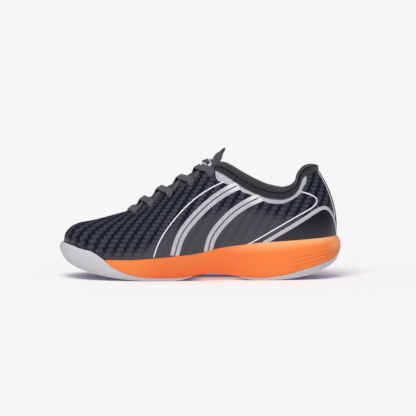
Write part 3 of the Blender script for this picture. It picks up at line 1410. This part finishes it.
def tongue():
    level = 1
    grids = padded(70, 11, 17.5, lambda y: -79.0, lambda y: cuff_front(y) - 1.4 - .20 * abs(y),
                   over=pchip([0, .05, .9, 1], [-1.5, .2, .3, -1.4]),
                   under=pchip([0, .05, .93, 1], [1.5, 4.2, 4.0, 2.2]),
                   puff=lambda share, across: .35 * math.sin(share * 46) * (1 - across ** 2))
    mesh("tongue_show", *two_skins(*grids), TONGUE, "flex", "tongue", ["tongue"], level=level)
    grids = padded(26, 15.5, 14.6, lambda y: cuff_front(y) - .6, lambda y: 18.8 - .010 * y * y,
                   over=pchip([0, .10, .26, .6, .85, 1], [-1.2, 4.0, 6.4, 6.0, 3.8, -.4]),
                   under=pchip([0, .12, .3, .6, .85, 1], [1.2, 3.6, 4.6, 4.6, 3.4, .4]),
                   puff=lambda share, across: .12 * math.sin(across * 9 + share * 5), lean=-.25)
    mesh("tongue_cuff_show", *two_skins(*grids), CUFF, "cuff", "tongue_cuff", ["tongue_cuff"],
         level=level)
    return grids[0]


def grid_point(grid, row_share, col_share):
    """Place on a grid of points, blended between its four nearest."""
    row, col = row_share * (grid.shape[0] - 1), col_share * (grid.shape[1] - 1)
    i, j = int(row), int(col)
    u, v = row - i, col - j
    return (grid[i, j] * (1 - u) * (1 - v) + grid[i + 1, j] * u * (1 - v)
            + grid[i, j + 1] * (1 - u) * v + grid[i + 1, j + 1] * u * v)


def tongue_label(cuff):
    """A light rectangle on the cuff with a dark middle."""
    normal = np.array([-.42, 0, 1.0]) / math.hypot(.42, 1)
    # name, (row and column shares of the cuff), height over it, material, replaced node
    for name, (row0, row1, col0, col1), lift, mat, replaces in (
            ("tongue_label_show", (.10, .60, .17, .83), .45, LABEL, ["tongue_label"]),
            ("tongue_label_field", (.165, .535, .22, .78), .62, CUFF, [])):
        grid = np.array([[grid_point(cuff, row, col) for col in np.linspace(col0, col1, 14)]
                         for row in np.linspace(row0, row1, 10)])
        points, faces = two_skins(grid + normal * lift, grid - normal * .5)
        mesh(name, points, faces, mat, "cuff", "tongue_label", replaces, weld=0, sharp=40)


tongue_label(tongue())

# ================================================================ laces
LACE_WIDTH, LACE_THICK = 7.1, 2.0
OVER = .35 + LACE_THICK / 2                     # lace centre above the skin
UNDER = -(SKIN_THICK + .5 + LACE_THICK / 2)     # and below it
# half cross-section profile of a lace: share of the half width, of the half thickness
LACE_SECTION = [(-1, 0), (-.93, .62), (-.72, .9), (-.36, 1), (0, .93), (.36, 1), (.72, .9),
                (.93, .62), (1, 0), (.93, -.62), (.72, -.9), (.36, -1), (0, -.93), (-.36, -1),
                (-.72, -.9), (-.93, -.62)]
# through an eyelet: down the section, out, (face direction: down, out), width, thickness
EYELET_PATH = [
    (-4.4, OVER + .15, (0, 1), LACE_WIDTH, LACE_THICK), (-2.6, OVER + .35, (.12, 1), 6.6, LACE_THICK),
    (-.9, OVER + .1, (.6, .8), 5.4, 1.8), (.1, -.2, (1, .15), 3.9, 1.8),
    (-.1, -1.3, (1, -.15), 3.2, 1.7), (-1.0, -2.3, (.6, -.8), 3.4, 1.5),
    (-2.9, UNDER - .3, (.1, -1), 4.6, 1.2), (-4.8, UNDER - .2, (0, -1), 5.2, 1.2)]


# lace paths are lists of (point, face normal, width, thickness)
def eyelet(k, side):
    point, normal, down = section_at(EYELET_X[k], side, EYELET_DOWN)
    return [(point + down * a + normal * b, normal * face[1] + down * face[0], width, thick)
            for a, b, face, width, thick in EYELET_PATH]


def throat_edge(k, side):
    return section_at(EYELET_X[k], side, .3)[:2]


def over_tongue(point, normal, offset):
    """Height above the tongue of a place off the throat edge."""
    return (point + normal * offset)[2] - tongue_point(point[0], point[1])[2]


def crossing(k_from, side, k_to, on_top):
    """From under one edge, over the tongue, to on top of the opposite edge."""
    start, start_out = throat_edge(k_from, side)
    end, end_out = throat_edge(k_to, -side)
    low = 1.1 + LACE_THICK / 2 if on_top else 1.15
    middle = low + (LACE_THICK + .4 if on_top else 0)
    start_rise = over_tongue(start, start_out, UNDER)
    end_rise = over_tongue(end, end_out, OVER)
    height = pchip([-1, -.6, -.25, .25, .6, 1],
                   [max(start_rise, low) - .1, low + (.5 if on_top else .15), middle,
                    middle, middle + (end_rise - middle) * .32, end_rise])
    width, thick = (LACE_WIDTH, LACE_THICK) if on_top else (4.4, 1.4)
    share = (.30 if k_to == 4 else .45) if on_top else .55
    middle_x = start[0] + (end[0] - start[0]) * share
    path = [(start + start_out * (UNDER - .3), start_out, 5.2, 1.2)]
    for s in (-.8, -.6, -.4, -.2, 0, .2, .4, .6, .8):
        reach = end[0] - middle_x if s > 0 else middle_x - start[0]
        x = middle_x + reach * s * abs(s) ** .8
        y = start[1] + (end[1] - start[1]) * (s + 1) / 2
        place = tongue_point(x, y)
        place[2] += float(height(s))
        path.append((place, tongue_normal(x, y), width + .25 * math.sin(7 * s + k_to), thick))
    path.append((end + end_out * (OVER + .15), end_out, LACE_WIDTH, LACE_THICK))
    return path


def half_lace(side):
    """From the front eyelet on one side up to the last, zigzagging over the tongue."""
    def turned(path, face):
        return [(point, normal * face, width, thick) for point, normal, width, thick in path]
    path, face = eyelet(0, side), -1
    for k in range(1, 5):
        path += turned(crossing(k - 1, side, k, on_top=side == MED), face)
        side = -side
        path += turned(eyelet(k, side), face)
        face = -face
    return path


def front_bar():
    """The lace's straight run between the two front eyelets."""
    lat, lat_out = throat_edge(0, LAT)
    med, med_out = throat_edge(0, MED)
    end_rise = over_tongue(lat, lat_out, OVER)
    path = [(med + med_out * (OVER + .2), med_out, LACE_WIDTH, LACE_THICK)]
    for s in (.8, .5, .25, 0, -.25, -.5, -.8):
        x = (lat[0] + med[0]) / 2 - 6.0 * (1 - s * s)
        y = (lat[1] + med[1]) / 2 + (med[1] - lat[1]) / 2 * s
        place = tongue_point(x, y)
        place[2] += 3.4 + (end_rise - 3.4) * abs(s) ** 1.5
        path.append((place, tongue_normal(x, y), LACE_WIDTH, LACE_THICK))
    path.append((lat + lat_out * (OVER + .2), lat_out, LACE_WIDTH, LACE_THICK))
    return path


def strap(name, path, mat, body, node, steps):
    """Flat woven lace along a path, with a number of steps between its points."""
    points, normals = (np.array([row[k] for row in path]) for k in (0, 1))
    sizes = np.array([row[2:] for row in path], float)
    run = np.concatenate([[0], np.cumsum(np.linalg.norm(np.diff(points, axis=0), axis=1))])
    count, last = (len(path) - 1) * steps + 1, len(path) - 1
    s = np.interp(np.linspace(0, last, count), np.arange(len(path)), run)

    def straight(values):
        return np.column_stack([np.interp(s, run, column) for column in values.T])
    centre = np.column_stack([pchip(run, column)(s) for column in points.T])
    centre = (centre + straight(points)) / 2
    for _ in range(2):
        centre[1:-1] = centre[1:-1] * .5 + (centre[:-2] + centre[2:]) * .25
    normal, size = straight(normals), straight(sizes)
    along = unit(np.gradient(centre, axis=0))
    normal -= along * (normal * along).sum(1)[:, None]
    normal = unit(normal)
    across = np.cross(along, normal)
    grid = np.stack([centre + across * (a * size[:, :1] / 2) + normal * (b * size[:, 1:] / 2)
                     for a, b in LACE_SECTION], 1)
    cols = len(LACE_SECTION)
    share = np.array([row[0] for row in LACE_SECTION])
    uv = np.stack([np.repeat(s[:, None], cols, 1) * PRINT_PER_MM,
                   np.repeat(share[None], count, 0) * .03], -1).reshape(-1, 2)
    mesh(name, grid.reshape(-1, 3), tube_faces(count, cols), mat, body, node, [node], uv=uv,
         weld=0)


# free lace ends and their aglets: distance along, width, thickness
LACE_END = [(-4.5, 4.0, 1.5), (-2.5, 4.8, 1.6), (0, 5.8, 1.7), (2.5, 7.2, 1.9), (5, 8.6, 2.0),
            (7.5, 8.9, 2.0), (10, 8.0, 1.9), (12.2, 6.2, 1.8), (14.0, 4.4, 1.9)]
AGLET_SIZES = [(13.6, 4.3, 2.2), (14.6, 4.1, 2.4), (16.6, 3.5, 2.3), (18.4, 2.7, 1.9),
               (19.4, 1.3, 1.0)]
# start off the last eyelet's edge, direction, face normal, bend per mm squared
END_POSES = {
    LAT: ((2.8, 0, 3.9), (.44, .10, .9), (.25, -1.0, -.1), np.array([.9, 0, -.25]) * (.05 / 6)),
    MED: ((-2.6, 0, 4.2), (.10, .88, -.38), (.1, .36, .9), np.array([0, 0, -.02]))}


def lace_end(side, word):
    point, _, down = section_at(EYELET_X[4], side, .3)
    offset, lean, face, bend = END_POSES[side]
    base = point - down * 2.4 + np.array(offset)
    lean, face = unit(np.array(lean)), np.array(face)
    for part, sizes, mat, steps in (("lace_end_", LACE_END, LACE, 5),
                                    ("aglet_", AGLET_SIZES, AGLET, 3)):
        path = [(base + lean * s + bend * s * s, face, width, thick)
                for s, width, thick in sizes]
        strap(part + word + "_show", path, mat, "lace_tip_" + word, part + word, steps)


strap("lace_show", half_lace(MED)[::-1] + front_bar() + half_lace(LAT), LACE, "flex", "lace",
      4)
for side, word in SIDES:
    lace_end(side, word)


def shank():
    """A thin ribbed plate under the arch, between the two outsole pieces."""
    xs, shares = np.linspace(-9.5, 42.5, 40), np.linspace(-1, 1, 15)
    lat, med = (np.array([inset_y(x, 10.5, side) for x in xs]) for side in (LAT, MED))
    middle, half = (lat + med) / 2, (med - lat) / 2
    bow = np.sin(np.linspace(0, math.pi, 40))
    y = middle[:, None] + half[:, None] * (1 - .35 * bow)[:, None] * shares[None]
    x = np.repeat(xs[:, None], 15, 1)
    rib = .9 * np.exp(-(shares / .22) ** 2)
    low = SLAB_Z(x) - .55 - rib[None] * bow[:, None]
    points, faces = two_skins(np.stack([x, y, low], -1), np.stack([x, y, SLAB_Z(x) + .10], -1))
    mesh("midfoot_shank_show", points, faces, SHANK, "flex", "midfoot_shank",
         ["midfoot_shank"], sharp=50)


shank()

# ================================================================ studio
# the sky by the upward part of the view direction: position, colour
SKY = [(0.0, (.50, .44, .60, 1)), (1.0, (.90, .85, 1.03, 1)),
       (.30, (.42, .385, .53, 1)), (.62, (.75, .73, .82, 1))]
SKY_POWER, GLOSS_DIM = .62, .22         # reflections see a dimmer sky
BACKDROP = (.922, .922, .922, 1)
FLOOR_RGB, FLOOR_HALF = (.889, .906, .845), 40.0     # half size in metres


def sky():
    """A soft dome for light and reflections; the camera sees a flat pale backdrop."""
    world = bpy.data.worlds.new("studio")
    bpy.context.scene.world = world
    world.use_nodes = True
    nodes, link = world.node_tree.nodes, world.node_tree.links.new
    nodes.clear()
    output = nodes.new("ShaderNodeOutputWorld")
    path = nodes.new("ShaderNodeLightPath")
    backdrop = nodes.new("ShaderNodeBackground")
    backdrop.inputs[0].default_value = BACKDROP
    dome = nodes.new("ShaderNodeBackground")
    dome.inputs[1].default_value = SKY_POWER
    coords = nodes.new("ShaderNodeTexCoord")
    split = nodes.new("ShaderNodeSeparateXYZ")
    link(coords.outputs["Generated"], split.inputs[0])
    ramp = nodes.new("ShaderNodeValToRGB")
    ramp.color_ramp.interpolation = "EASE"
    stops = ramp.color_ramp.elements
    for stop, (position, colour) in zip(stops, SKY[:2]):
        stop.position, stop.color = position, colour
    for position, colour in SKY[2:]:
        stops.new(position).color = colour
    link(split.outputs[2], ramp.inputs[0])
    link(ramp.outputs[0], dome.inputs[0])
    dim = nodes.new("ShaderNodeMix")
    dim.data_type = "FLOAT"
    link(path.outputs["Is Glossy Ray"], dim.inputs[0])
    dim.inputs[2].default_value = SKY_POWER
    dim.inputs[3].default_value = SKY_POWER * GLOSS_DIM
    link(dim.outputs[0], dome.inputs[1])
    chooser = nodes.new("ShaderNodeMixShader")
    link(path.outputs["Is Camera Ray"], chooser.inputs[0])
    link(dome.outputs[0], chooser.inputs[1])
    link(backdrop.outputs[0], chooser.inputs[2])
    link(chooser.outputs[0], output.inputs[0])


def floor_mat():
    """Pale floor with a faint glow, brighter in a patch under the raised arch."""
    mat = new_mat("floor_pale", FLOOR_RGB, rough=1.0, spec=0)
    graph = Graph(mat)
    x, y, _ = graph.split(graph.nodes.new("ShaderNodeNewGeometry").outputs["Position"])
    patch_x = graph.mul(graph.rise(x, -.014, .006), graph.fall(x, .032, .052))
    patch_y = graph.mul(graph.rise(y, -.047, -.034), graph.fall(y, -.014, .016))
    glow = graph.mix(graph.mul(patch_x, patch_y), (.045, .030, .072), (.40, .42, .41))
    graph.set("Emission Color", glow)
    graph.set("Emission Strength", 1.0)
    return mat


def floor():
    data = bpy.data.meshes.new("floor")
    corners = [(x * FLOOR_HALF, y * FLOOR_HALF, 0) for x, y in
               ((-1, -1), (1, -1), (1, 1), (-1, 1))]
    data.from_pydata(corners, [], [(0, 1, 2, 3)])
    ob = bpy.data.objects.new("floor", data)
    ob.location.z = -.0002
    bpy.context.scene.collection.objects.link(ob)
    data.materials.append(floor_mat())


def sun(name, toward, power, angle, colour):
    """toward points from the shoe to the sun; angle is its apparent size in degrees."""
    light = bpy.data.lights.new(name, "SUN")
    light.energy, light.color, light.angle = power, colour, math.radians(angle)
    ob = bpy.data.objects.new(name, light)
    ob.rotation_euler = (-Vector(toward)).to_track_quat("-Z", "Y").to_euler()
    bpy.context.scene.collection.objects.link(ob)
    ob.visible_glossy = False


def camera():
    data = bpy.data.cameras.new("camera")
    data.sensor_width = 36
    data.lens = 36 / 2 * VIEW_DISTANCE / VIEW_HALF
    ob = bpy.data.objects.new("camera", data)
    ob.location = Vector((EYE - ORIGIN) * MM)
    ob.rotation_euler = Vector(-VIEW_BACK).to_track_quat("-Z", "Y").to_euler()
    bpy.context.scene.collection.objects.link(ob)
    bpy.context.scene.camera = ob
    data.clip_start, data.clip_end = .1, 200


sky()
floor()
sun("key", toward=(-.20, -.78, 1.08), power=2.10, angle=34, colour=(1.0, 1.022, .938))
camera()
view = bpy.context.scene.view_settings
view.view_transform, view.look, view.exposure, view.gamma = "Standard", "None", 0, 1
